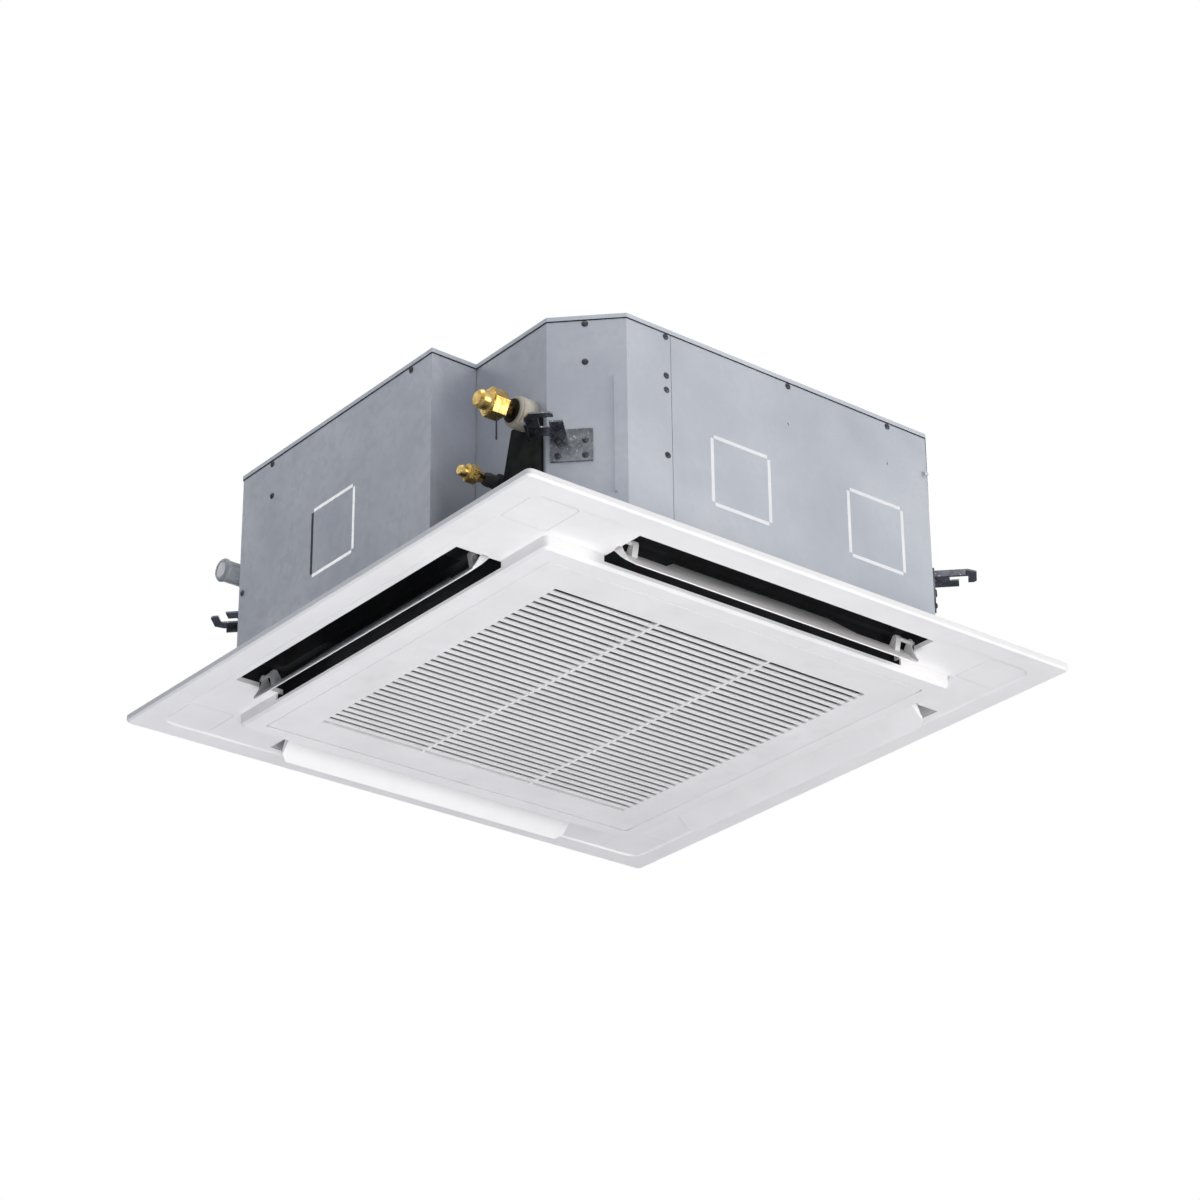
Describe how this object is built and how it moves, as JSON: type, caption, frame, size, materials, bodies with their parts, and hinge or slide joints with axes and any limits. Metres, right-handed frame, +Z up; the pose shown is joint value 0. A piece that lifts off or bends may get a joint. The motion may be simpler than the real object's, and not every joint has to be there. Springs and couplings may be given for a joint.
{
  "type": "ceiling cassette air conditioner",
  "caption": "Four-way ceiling cassette air conditioner: square panel with swinging air flaps and a hinged intake grille, under an eight-sided steel casing with hanging lugs and pipe joints.",
  "frame": {"origin": "middle of the panel, in the plane of the ceiling", "axes": "+Z up, into the ceiling; -Y is the front, the side that the intake grille opens from; the pipes leave at the -X, -Y corner"},
  "size_m": [0.95, 0.95, 0.3586],
  "materials": {
    "panel_white": "smooth white moulded plastic, satin",
    "galvanised": "galvanised sheet steel, dull with a faint spangle",
    "dark_steel": "dark plated steel",
    "black_foam": "moulded black foam",
    "black_plastic": "black sheet",
    "white_foam": "moulded white foam",
    "grey_plastic": "moulded grey plastic",
    "filter_net": "fine dark net in a plastic frame",
    "clear_plastic": "translucent moulded plastic",
    "brass": "turned brass",
    "copper": "drawn copper tube",
    "coil_fins": "stacked bright fins",
    "foam_collar": "beige closed-cell foam",
    "circuit": "green board"
  },
  "bodies": {
    "casing": {"panel_frame": "panel_white", "corner_cap_front_right": "panel_white", "corner_cap_back_right": "panel_white", "corner_cap_back_left": "panel_white", "corner_cap_front_left": "panel_white", "float_switch": "panel_white", "terminal_block": "panel_white", "front_sheet": "galvanised", "right_sheet": "galvanised", "back_sheet": "galvanised", "left_sheet": "galvanised", "pipe_corner_sheet": "galvanised", "top_plate": "galvanised", "grille_hinge_pin_left": "galvanised", "grille_hinge_pin_right": "galvanised", "panel_bolt_front_right": "galvanised", "panel_bolt_back_right": "galvanised", "panel_bolt_back_left": "galvanised", "panel_bolt_front_left": "galvanised", "fan_motor": "galvanised", "control_box": "galvanised", "control_box_cover": "galvanised", "motor_plate": "dark_steel", "hanger_front_right": "dark_steel", "hanger_back_right": "dark_steel", "hanger_back_left": "dark_steel", "hanger_front_left": "dark_steel", "air_guide": "black_foam", "drain_pan": "black_foam", "pipe_port_cover": "black_plastic", "foam_liner": "white_foam", "bell_mouth": "grey_plastic", "drain_pump": "grey_plastic", "flap_motor_front": "grey_plastic", "flap_motor_right": "grey_plastic", "flap_motor_back": "grey_plastic", "flap_motor_left": "grey_plastic", "drain_port": "clear_plastic", "gas_flare_nut": "brass", "liquid_flare_nut": "brass", "gas_pipe": "copper", "liquid_pipe": "copper", "gas_header": "copper", "coil_end_left": "copper", "coil_end_front": "copper", "heat_exchanger": "coil_fins", "gas_pipe_collar": "foam_collar", "circuit_board": "circuit"},
    "fan": {"turbo_fan": "grey_plastic", "fan_nut": "galvanised", "motor_shaft": "galvanised"},
    "front_flap": {"flap_front": "panel_white"},
    "right_flap": {"flap_right": "panel_white"},
    "back_flap": {"flap_back": "panel_white"},
    "left_flap": {"flap_left": "panel_white"},
    "grille": {"intake_grille": "panel_white", "air_filter": "filter_net"},
    "left_latch": {"grille_latch_left": "panel_white"},
    "right_latch": {"grille_latch_right": "panel_white"},
    "float_ring": {"float": "grey_plastic"}
  },
  "joints": [
    {"name": "fan_spin", "type": "hinge", "parent": "casing", "child": "fan", "pos_m": [0, 0, 0.2], "axis": [0, 0, 1], "continuous": true},
    {"name": "flap_front_swing", "type": "hinge", "parent": "casing", "child": "front_flap", "pos_m": [0, -0.382, 0.006], "axis": [1, 0, 0], "range_deg": [-44, 12]},
    {"name": "flap_right_swing", "type": "hinge", "parent": "casing", "child": "right_flap", "pos_m": [0.382, 0, 0.006], "axis": [0, 1, 0], "range_deg": [-44, 12]},
    {"name": "flap_back_swing", "type": "hinge", "parent": "casing", "child": "back_flap", "pos_m": [0, 0.382, 0.006], "axis": [-1, 0, 0], "range_deg": [-44, 12]},
    {"name": "flap_left_swing", "type": "hinge", "parent": "casing", "child": "left_flap", "pos_m": [-0.382, 0, 0.006], "axis": [0, -1, 0], "range_deg": [-44, 12]},
    {"name": "grille_open", "type": "hinge", "parent": "casing", "child": "grille", "pos_m": [0, 0.324, -0.0235], "axis": [1, 0, 0], "range_deg": [0, 90]},
    {"name": "latch_left_slide", "type": "slide", "parent": "grille", "child": "left_latch", "axis": [0, -1, 0], "range_m": [0, 0.005]},
    {"name": "latch_right_slide", "type": "slide", "parent": "grille", "child": "right_latch", "axis": [0, -1, 0], "range_m": [0, 0.005]},
    {"name": "float_rise", "type": "slide", "parent": "casing", "child": "float_ring", "axis": [0, 0, 1], "range_m": [0, 0.012]}
  ]
}
